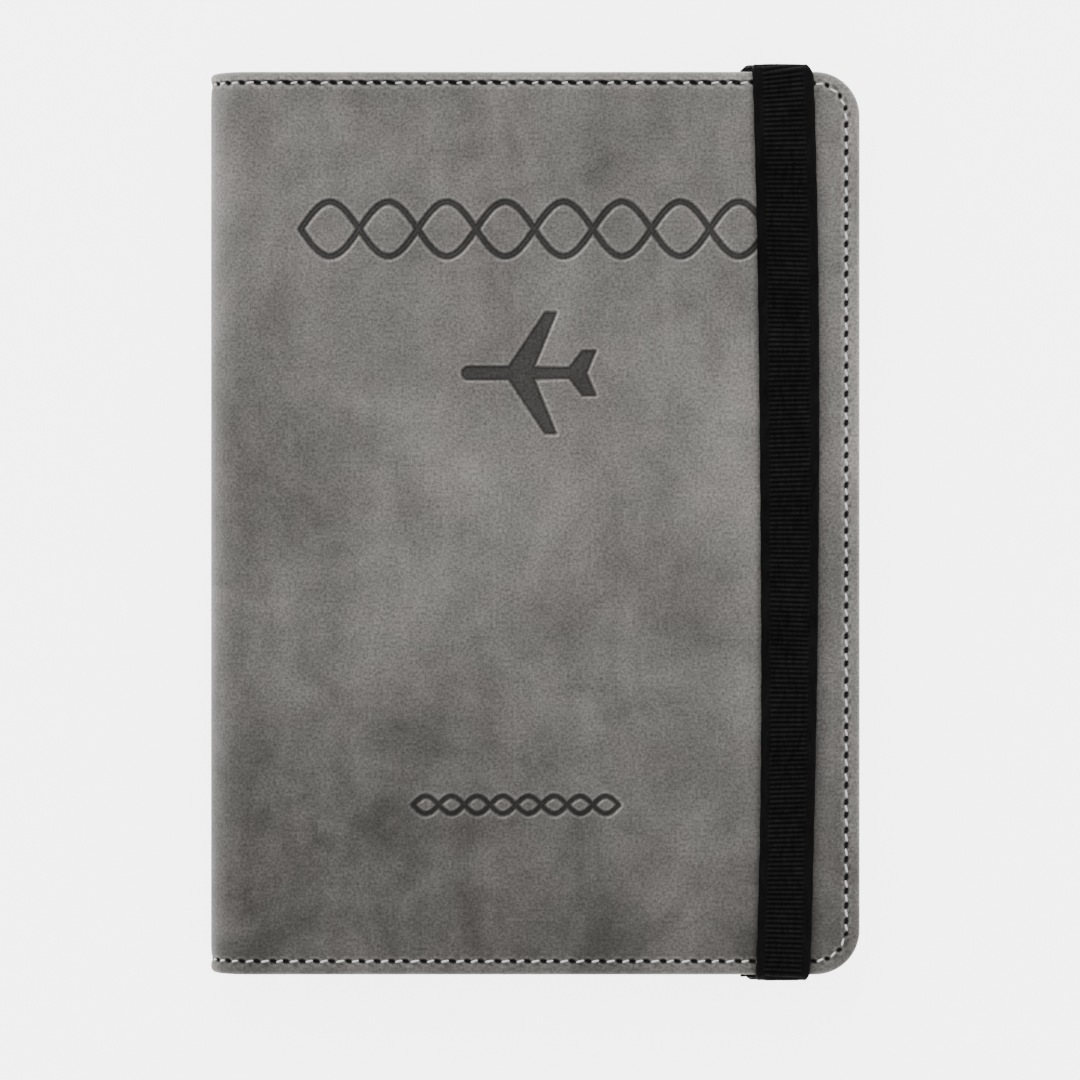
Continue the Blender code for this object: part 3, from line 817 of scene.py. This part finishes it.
class Nodes:
    """A small helper to write a material's nodes in a few lines."""

    def __init__(self, name):
        self.material = bpy.data.materials.new(name)
        self.material.use_nodes = True
        self.tree = self.material.node_tree
        self.shader = self.tree.nodes["Principled BSDF"]

    def add(self, kind, inputs=(), **settings):
        node = self.tree.nodes.new(kind)
        for key, value in settings.items():
            setattr(node, key, value)
        for key, value in dict(inputs).items():
            if isinstance(value, bpy.types.NodeSocket):
                self.tree.links.new(value, node.inputs[key])
            else:
                node.inputs[key].default_value = value
        return node

    def flat(self):
        return self.add("ShaderNodeUVMap", uv_map="flat").outputs["UV"]

    def attribute(self, name):
        return self.add("ShaderNodeAttribute", attribute_name=name, attribute_type="GEOMETRY").outputs["Fac"]

    def mapping(self, vector, scale=(1, 1, 1), turn=0.0, offset=(0, 0, 0)):
        return self.add("ShaderNodeMapping", {"Vector": vector, "Scale": scale, "Rotation": (0, 0, turn),
                                              "Location": offset}).outputs["Vector"]

    def noise(self, vector, scale, detail=3, rough=0.5, distortion=0.0):
        return self.add("ShaderNodeTexNoise", {"Vector": vector, "Scale": scale, "Detail": detail,
                                               "Roughness": rough, "Distortion": distortion}).outputs["Fac"]

    def math(self, operation, a, b=0.0, clamp=False):
        return self.add("ShaderNodeMath", {0: a, 1: b}, operation=operation, use_clamp=clamp).outputs[0]

    def fit(self, value, low, high, to_low=0.0, to_high=1.0):
        inputs = {"Value": value, "From Min": low, "From Max": high, "To Min": to_low, "To Max": to_high}
        return self.add("ShaderNodeMapRange", inputs).outputs["Result"]

    def mix(self, factor, a, b, blend="MIX"):
        node = self.add("ShaderNodeMix", data_type="RGBA", blend_type=blend)
        for socket, value in ((node.inputs[0], factor), (node.inputs[6], a), (node.inputs[7], b)):
            if isinstance(value, bpy.types.NodeSocket):
                self.tree.links.new(value, socket)
            else:
                socket.default_value = value
        return node.outputs[2]

    def tinted(self, colour, by):
        return self.mix(1.0, colour, by, "MULTIPLY")

    def ramp(self, factor, stops):
        node = self.add("ShaderNodeValToRGB", {"Fac": factor})
        ramp = node.color_ramp
        while len(ramp.elements) < len(stops):
            ramp.elements.new(0.5)
        for element, (at, colour) in zip(ramp.elements, stops):
            element.position = at
            element.color = (*colour, 1)
        return node.outputs["Color"]

    def bump(self, height, distance, strength):
        inputs = {"Height": height, "Distance": distance, "Strength": strength}
        return self.add("ShaderNodeBump", inputs).outputs["Normal"]

    def set(self, **inputs):
        names = {
            "colour": "Base Color", "roughness": "Roughness", "normal": "Normal", "sheen": "Sheen Weight",
            "sheen_roughness": "Sheen Roughness", "specular": "Specular IOR Level",
        }
        for key, value in inputs.items():
            socket = self.shader.inputs[names[key]]
            if isinstance(value, bpy.types.NodeSocket):
                self.tree.links.new(value, socket)
            else:
                socket.default_value = value


def painted_band_shadow(n, split):
    """The painted shadow beside the elastic band, which presses on the front: how dark the front is drawn
    there.
    """
    y = n.math("DIVIDE", split.outputs["Y"], HEAD * MM)
    centre = n.fit(n.math("MULTIPLY", y, y), 0, 1, band_centre(0) * MM, band_centre(HEAD) * MM)
    half = n.fit(y, -0.8, 0.4, band_width(-0.8 * HEAD) / 2 * MM, band_width(0.4 * HEAD) / 2 * MM)
    across = n.math("SUBTRACT", split.outputs["X"], centre)
    past = n.math("SUBTRACT", n.math("ABSOLUTE", across), half)
    return n.fit(past, 0.1 * MM, n.fit(across, -1 * MM, 1 * MM, 0.9 * MM, 1.9 * MM), 0.70, 1.0)


def leather(name, light, middle, dark, clouds=1.0, with_band_shadow=False):
    """Mottled nubuck: clouds, slanting streaks and fine grain. Negative tone values lighten it with painted
    highlights; positive ones darken it for pressed marks and painted shade; hole values paint shade into
    needle holes.
    """
    n = Nodes(name)
    flat = n.flat()
    split = n.add("ShaderNodeSeparateXYZ", {0: flat})
    warp = n.mapping(n.noise(flat, 26, 2, 0.5), (0.012, 0.012, 0.012))
    pushed = n.add("ShaderNodeVectorMath", {0: flat, 1: warp}, operation="ADD").outputs[0]
    big = n.noise(n.mapping(pushed, offset=(0.31, 0.17, 0)), 34, 3, 0.55)
    cloud = n.noise(n.mapping(pushed, offset=(0.07, 0.42, 0)), 78, 6, 0.66, 0.5)
    streak = n.noise(n.mapping(pushed, (1, 0.30, 1), 0.75), 105, 5, 0.64, 0.4)
    small = n.noise(flat, 360, 4, 0.7)
    grain = n.noise(flat, 2100, 3, 0.72)
    tone = n.math("MULTIPLY", big, clouds)
    for layer, share in ((cloud, 0.9 * clouds), (streak, 0.8 * clouds), (small, 0.34)):
        tone = n.math("ADD", tone, n.math("MULTIPLY", layer, share))

    # painted shade darker towards the tail, away from the light at the head; also darker by the spine,
    # lighter on the fold, by the fore edge and round the middle
    for axis, low, high, at_low, at_high in (
            ("Y", -70, 4, -0.42, 0.0), ("X", -52, -22, -0.16, 0.0), ("Y", -73, -60, -0.14, 0.0),
            ("X", -53, -46, 0.16, 0.0), ("X", 20, 48, 0.0, 0.10)):
        tone = n.math("ADD", tone, n.fit(split.outputs[axis], low * MM, high * MM, at_low, at_high))
    from_middle = n.add("ShaderNodeVectorMath", {0: flat, 1: (-2 * MM, -4 * MM, 0)}, operation="DISTANCE")
    tone = n.math("ADD", tone, n.fit(from_middle.outputs["Value"], 4 * MM, 34 * MM, 0.16, 0.0))
    centre = 0.5 * (2.7 * clouds + 0.34)
    colour = n.ramp(n.fit(tone, centre - 0.62, centre + 0.62), [(0.0, dark), (0.5, middle), (1.0, light)])
    tint = n.noise(n.mapping(flat, offset=(0.5, 0.1, 0)), 60, 2, 0.5)
    colour = n.mix(n.fit(tint, 0.42, 0.60), colour, n.tinted(colour, (0.94, 0.98, 0.96, 1)))
    shade = n.fit(grain, 0.28, 0.72, 0.50, 1.50)
    if with_band_shadow:
        # painted shadow of the band on the front
        shade = n.math("MULTIPLY", shade, painted_band_shadow(n, split))
    colour = n.tinted(colour, n.add("ShaderNodeCombineXYZ", {0: shade, 1: shade, 2: shade}).outputs[0])

    press = n.attribute("press")
    # negative values lighten: painted highlights on the seam's bead and the marks' rims, and the lighter
    # rings round needle holes
    lightened = n.math("MULTIPLY", press, -1.0, True)
    colour = n.mix(lightened, colour, n.tinted(colour, (2.3, 2.29, 2.26, 1)))
    # positive values darken: marks pressed darker with painted shade at their walls' foot, and painted shade
    # by the threads and under the head's rim
    darkened = n.math("MAXIMUM", press, 0.0, True)
    colour = n.mix(darkened, colour, n.tinted(colour, (0.11, 0.11, 0.11, 1)))
    # painted shade: the needle holes are coloured nearly black
    colour = n.mix(n.attribute("hole"), colour, (0.002, 0.002, 0.002, 1))
    rough = n.noise(flat, 900, 3, 0.6)
    height = n.math("ADD", n.math("MULTIPLY", grain, 0.6), n.math("MULTIPLY", rough, 0.4))
    n.set(colour=colour, roughness=n.fit(cloud, 0.3, 0.7, 0.80, 0.68), sheen=0.06, sheen_roughness=0.5,
          specular=0.18, normal=n.bump(height, 0.10 * MM, 0.6))
    return n.material


def woven(name, colour, lift):
    """Woven cloth or elastic, between two colours. Its tone value paints shade into the grooves between ribs
    and darkens the selvedges.
    """
    n = Nodes(name)
    flat = n.flat()
    split = n.add("ShaderNodeSeparateXYZ", {0: flat})
    warp = n.math("SINE", n.math("MULTIPLY", split.outputs["X"], 2 * math.pi / (0.30 * MM)))
    weft = n.math("SINE", n.math("MULTIPLY", split.outputs["Y"], 2 * math.pi / (0.36 * MM)))
    fuzz = n.noise(flat, 1900, 3, 0.65)
    strands = n.noise(n.mapping(flat, (1, 0.22, 1)), 1500, 2, 0.6)
    patch = n.noise(flat, 150, 3, 0.6)
    tone = n.math("ADD", n.math("MULTIPLY", fuzz, 0.35), n.math("MULTIPLY", strands, 0.35))
    tone = n.math("ADD", tone, n.math("MULTIPLY", patch, 0.3))
    base = n.ramp(tone, [(0.38, colour), (0.64, lift)])
    # painted shade in the rib grooves, and the darker selvedges
    base = n.mix(n.math("MULTIPLY", n.attribute("press"), 0.9), base, (0.0006, 0.0006, 0.0006, 1))
    height = n.math("ADD", n.math("MULTIPLY", warp, 0.35), n.math("MULTIPLY", fuzz, 0.6))
    height = n.math("ADD", height, n.math("MULTIPLY", weft, 0.2))
    n.set(colour=base, roughness=n.fit(fuzz, 0.3, 0.7, 0.75, 0.95), specular=0.06,
          normal=n.bump(height, 0.06 * MM, 0.6))
    return n.material


def thread(name):
    """Light twisted sewing thread."""
    n = Nodes(name)
    flat = n.flat()
    twisted = n.add("ShaderNodeSeparateXYZ", {0: n.mapping(flat, turn=0.7)})
    wave = n.math("SINE", n.math("MULTIPLY", twisted.outputs["X"], 2 * math.pi / (0.22 * MM)))
    tone = n.math("ADD", n.math("MULTIPLY", wave, 0.25), n.noise(flat, 4000, 2, 0.6))
    colour = n.ramp(tone, [(0.2, (0.52, 0.51, 0.49)), (0.8, (0.90, 0.89, 0.87))])
    n.set(colour=colour, roughness=0.6, sheen=0.2, sheen_roughness=0.5, specular=0.3,
          normal=n.bump(wave, 0.03 * MM, 0.7))
    return n.material


def board(name):
    """Plain pressed greyboard with flecks."""
    n = Nodes(name)
    fleck = n.noise(n.add("ShaderNodeTexCoord").outputs["Object"], 900, 4, 0.7)
    colour = n.ramp(fleck, [(0.3, (0.20, 0.18, 0.155)), (0.7, (0.40, 0.365, 0.32))])
    n.set(colour=colour, roughness=n.fit(fleck, 0.3, 0.7, 0.85, 0.97), normal=n.bump(fleck, 0.05 * MM, 0.5))
    return n.material


LEATHER = leather("cover_leather_look", (0.216, 0.203, 0.193), (0.126, 0.118, 0.112), (0.050, 0.0465, 0.0435),
                  with_band_shadow=True)
POCKET = leather("pocket_leather_look", (0.120, 0.113, 0.107), (0.098, 0.092, 0.087), (0.075, 0.070, 0.066),
                 clouds=0.5)
ELASTIC = woven("woven_elastic_look", (0.0030, 0.0030, 0.0030), (0.0150, 0.0150, 0.0148))
CLOTH = woven("lining_cloth_look", (0.030, 0.030, 0.032), (0.055, 0.055, 0.058))
THREAD = thread("seam_thread_look")
BOARD = board("stiffener_board_look")


# ---------------- making the pieces


def place(piece, body, slot, *nodes):
    """Puts a piece on its body and hides the CAD nodes it is seen instead of. Its slot argument is not used.
    """
    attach(piece, body)
    if nodes:
        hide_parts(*nodes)


def cross_crease(piece, upper, slot, *nodes):
    """Bakes the placement of a piece that spans a crease of the spine into its mesh, on no body, and hides
    the CAD nodes it is seen instead of. Its slot is not used.
    """
    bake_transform(piece)
    if nodes:
        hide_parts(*nodes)


for side in ("front", "back"):
    panel = cover_panel(f"{side}_panel_leather", side == "front", LEATHER)
    place(panel, f"{side}_cover", "cover_leather", f"{side}_cover_leather")
cross_crease(spine_half("spine_leather_lower", False, LEATHER), False, "cover_leather",
             "spine_leather_1", "spine_leather_2")
cross_crease(spine_half("spine_leather_upper", True, LEATHER), True, "cover_leather",
             "spine_leather_3", "spine_leather_4")

for side in ("front", "back"):
    stitches = cover_stitches(f"{side}_seam_stitches", side == "front", THREAD)
    place(stitches, f"{side}_cover", "seam_thread", f"{side}_seam_thread")
cross_crease(spine_stitches("spine_stitches_lower", False, THREAD), False, "seam_thread")
cross_crease(spine_stitches("spine_stitches_upper", True, THREAD), True, "seam_thread")

place(band_run(ELASTIC), "elastic_band", "woven_elastic", "elastic_band")
for end, sign in (("head", 1), ("tail", -1)):
    leg = band_leg(f"elastic_band_leg_{end}", sign, ELASTIC)
    place(leg, "elastic_band", "woven_elastic")
    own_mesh(leg)
    place(band_end(f"band_end_{end}_woven", sign, ELASTIC), "back_cover", "woven_elastic", f"band_end_{end}")


def lining_sheet(side, over_spine):
    """The lining of a cover, which the board behind it holds flat. Its over_spine argument, the spine's
    lining sewn to it, is not used.
    """
    node = f"{side}_cover_lining"
    low, high = box_mm(node)
    made = soft_panel(f"{side}_lining_cloth", cover_outline(SPINE), low.z, high.z, CLOTH)
    place(made, f"{side}_cover", "lining_cloth", node)


def spine_lining(name, upper):
    """Half of the lining in the fold. A short flange at the cover's end lies inside the cover's lining."""
    start, end = (math.pi, math.pi / 2) if upper else (0.0, math.pi / 2)
    rows, columns = 26, 48
    turn = np.concatenate([[start], np.linspace(start, end, rows - 1)])[:, None]
    at_cover = np.arange(rows)[:, None]
    flange = np.where(at_cover == 0, 0.9, 0.0)
    ys = np.linspace(LINING_INSET - HEAD, HEAD - LINING_INSET, columns)
    under = np.repeat([0.0, 1.0], columns)[None, :]
    thinner = 0.03 * (1 - 2 * under) * (at_cover < 2)
    x, z = spine_place(turn, LINING_DEPTH + LINING * under + thinner)
    y = np.broadcast_to(np.concatenate([ys, ys[::-1]]), x.shape)
    flat = np.stack(np.broadcast_arrays(SPINE - SPINE_ARC + turn * RADIUS, y), -1)
    shell = Shell()
    shell.grid(np.stack([x + flange, y, z], -1), closed=True, flat=flat)
    made = shell.build(name, CLOTH)
    nodes = ("spine_lining_3", "spine_lining_4") if upper else ("spine_lining_1", "spine_lining_2")
    cross_crease(made, upper, "lining_cloth", *nodes)
    return made


def node_sheet(node, body, corners=None):
    """A detailed sheet in the place of a thin CAD node, the size that its box says."""
    low, high = box_mm(node)
    if corners is None:
        corners = [(low.x, low.y), (high.x, low.y), (high.x, high.y), (low.x, high.y)]
    place(soft_panel(f"{node}_sheet", corners, low.z, high.z, POCKET), body, "pocket_leather", node)


def stitch_row(node, line):
    """A row of small stitches along a line of points on a front pocket's face."""
    line = np.array(line)
    run = running_length(line)
    at = np.linspace(0, run[-1], max(2, round(run[-1] / POCKET_PITCH)) + 1)
    places = np.stack([np.interp(at, run, line[:, 0]), np.interp(at, run, line[:, 1])], -1)
    points = raised(places, box_mm(node)[0].z)
    shell = Shell()
    for a, b in zip(points[:-1], points[1:]):
        stitch(shell, a, b, (0, 0, -1), radius=0.13, lift=0.06, sink=0.10, slant=0.06)
    place(shell.build(f"{node}_stitches", THREAD), "front_cover", "seam_thread")


lining_sheet("front", spine_lining("spine_lining_upper", True))
lining_sheet("back", spine_lining("spine_lining_lower", False))

node_sheet("card_panel", "front_cover", cover_outline(box_mm("card_panel")[0].x))
for node in ("card_pocket_1", "card_pocket_2", "sim_pocket"):
    node_sheet(node, "front_cover")
low, high = box_mm("card_pocket_3")
lower_part = [tuple(p) for p in cover_outline(low.x) if p[1] < 0]
node_sheet("card_pocket_3", "front_cover", lower_part + [(high.x, high.y), (low.x, high.y)])
node_sheet("boarding_pass_pocket", "back_cover", cover_outline(box_mm("boarding_pass_pocket")[0].x))

# The passport sleeve's thumb notch is the part of a circle that is inside the sleeve's edge
NOTCH_RADIUS = 9.0
NOTCH_OUTSIDE = 0.3
sleeve_x = box_mm("passport_sleeve")[0].x
turns = np.linspace(1, -1, 25) * math.acos(NOTCH_OUTSIDE)
notch_x = sleeve_x + NOTCH_RADIUS * (np.cos(turns) - NOTCH_OUTSIDE)
notch = np.stack([notch_x, NOTCH_RADIUS * np.sin(turns)], -1)
node_sheet("passport_sleeve", "back_cover", np.concatenate([cover_outline(sleeve_x), notch]))

POCKET_SEAM = 0.9
for node in ("card_pocket_1", "card_pocket_2", "card_pocket_3"):
    low, high = box_mm(node)
    side = low.x + POCKET_SEAM
    stitch_row(node, [(side, high.y - POCKET_SEAM), (side, low.y + POCKET_SEAM)])
low, high = box_mm("sim_pocket")
left, right = low.x + POCKET_SEAM, high.x - POCKET_SEAM
bottom, mouth = low.y + POCKET_SEAM, high.y - 0.5
stitch_row("sim_pocket", [(left, mouth), (left, bottom), (right, bottom), (right, mouth)])
for node in ("front_cover_board", "back_cover_board"):
    shown = frame["nodes"][node]
    shown.data.materials.clear()
    shown.data.materials.append(BOARD)


# ---------------- floor, light and camera


def floor():
    """A large white floor just under the wallet, slightly luminous as a lit studio sheet is."""
    size = 3.0
    corners = [(-size, -size, 0), (size, -size, 0), (size, size, 0), (-size, size, 0)]
    mesh = bpy.data.meshes.new("floor")
    mesh.from_pydata(corners, [], [(0, 1, 2, 3)])
    made = bpy.data.objects.new("floor", mesh)
    made.location.z = -0.4 * MM
    n = Nodes("floor_paint")
    n.set(colour=(0.93, 0.93, 0.93, 1), roughness=0.9, specular=0.1)
    n.shader.inputs["Emission Color"].default_value = (1, 1, 1, 1)
    n.shader.inputs["Emission Strength"].default_value = 4.2
    mesh.materials.append(n.material)
    bpy.context.scene.collection.objects.link(made)
    made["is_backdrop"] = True


def area_light(name, where, size, watts):
    """A square lamp that faces the wallet."""
    data = bpy.data.lights.new(name, "AREA")
    data.shape = "SQUARE"
    data.size = size
    data.energy = watts
    made = bpy.data.objects.new(name, data)
    made.location = where
    made.rotation_euler = (-Vector(where)).to_track_quat("-Z", "Y").to_euler()
    bpy.context.scene.collection.objects.link(made)


def surroundings(strength):
    world = bpy.data.worlds.new("surroundings")
    world.use_nodes = True
    background = world.node_tree.nodes["Background"]
    background.inputs["Color"].default_value = (1, 1, 1, 1)
    background.inputs["Strength"].default_value = strength
    bpy.context.scene.world = world


def camera():
    """Straight above the wallet, far enough away that its rim hides its sides as in the photograph."""
    data = bpy.data.cameras.new("camera")
    data.sensor_width = 36
    data.lens = 187
    data.clip_start = 0.01
    made = bpy.data.objects.new("camera", data)
    made.location = (0.9 * MM, -2.7 * MM, THICK * MM + 0.900)
    bpy.context.scene.collection.objects.link(made)
    bpy.context.scene.camera = made


floor()
surroundings(1.0)
area_light("head_light", (-0.15, 0.9, 1.0), 0.8, 9.0)
area_light("top_light", (0.1, -0.1, 1.6), 1.6, 8.0)
camera()

low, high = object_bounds()
